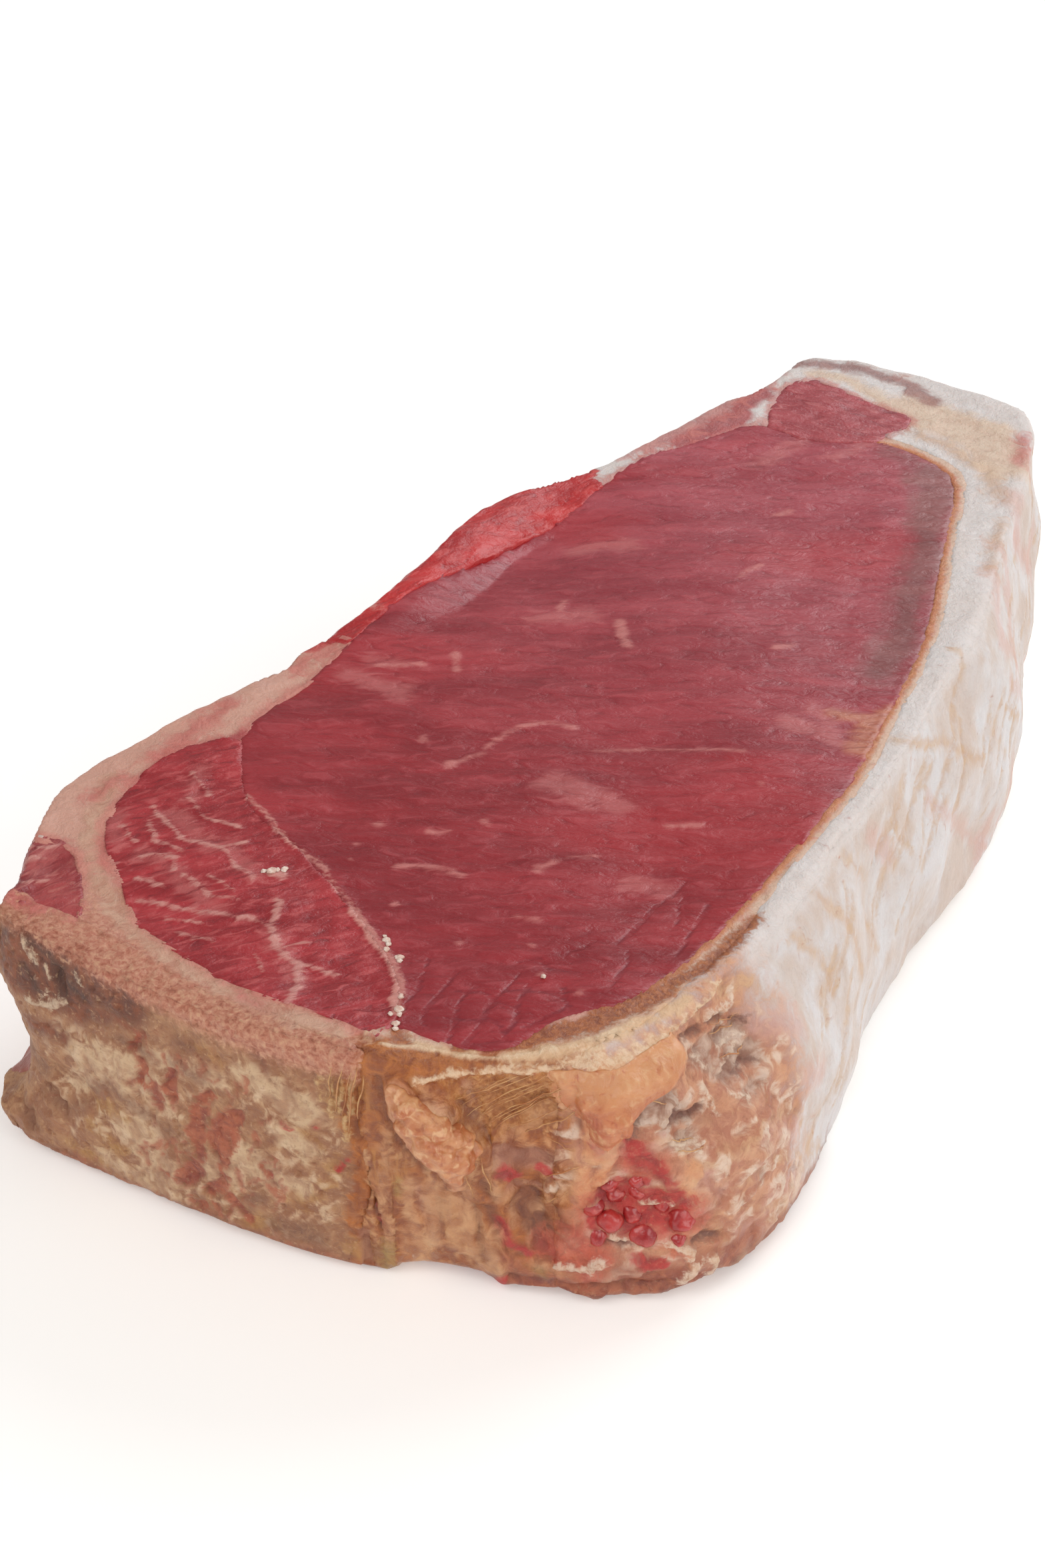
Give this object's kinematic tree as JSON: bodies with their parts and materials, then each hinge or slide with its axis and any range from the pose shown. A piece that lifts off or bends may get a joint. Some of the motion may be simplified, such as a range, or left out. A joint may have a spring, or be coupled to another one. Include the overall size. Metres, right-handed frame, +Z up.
{
  "type": "raw sirloin steak",
  "caption": "Thick raw sirloin steak on the bone, lying on its lower cut face: lean eye of meat in a rim of fat and membrane, with a sawn bone at one end.",
  "frame": {"origin": "middle of the box round the steak, on the board that it lies on", "axes": "+Z up through the thickness, +Y from the sawn bone towards the tail, +X towards the back fat"},
  "size_m": [0.1388, 0.2546, 0.0522],
  "materials": {
    "lean_meat": "moist, fibrous",
    "marbled_meat": "moist, with veins of fat",
    "bright_meat": "moist, fibrous",
    "sawn_bone": "dry, porous, smeared by the saw",
    "membrane": "satin, stringy",
    "hard_fat": "waxy, lumpy",
    "pink_fat": "waxy, rosy"
  },
  "bodies": {
    "root": {"eye_muscle": "lean_meat", "side_muscle": "marbled_meat", "corner_muscle": "marbled_meat", "rib_muscle": "bright_meat", "tail_muscle": "marbled_meat", "feather_bone": "sawn_bone", "silverskin": "membrane", "back_fat": "hard_fat", "seam_fat": "pink_fat"}
  },
  "joints": []
}
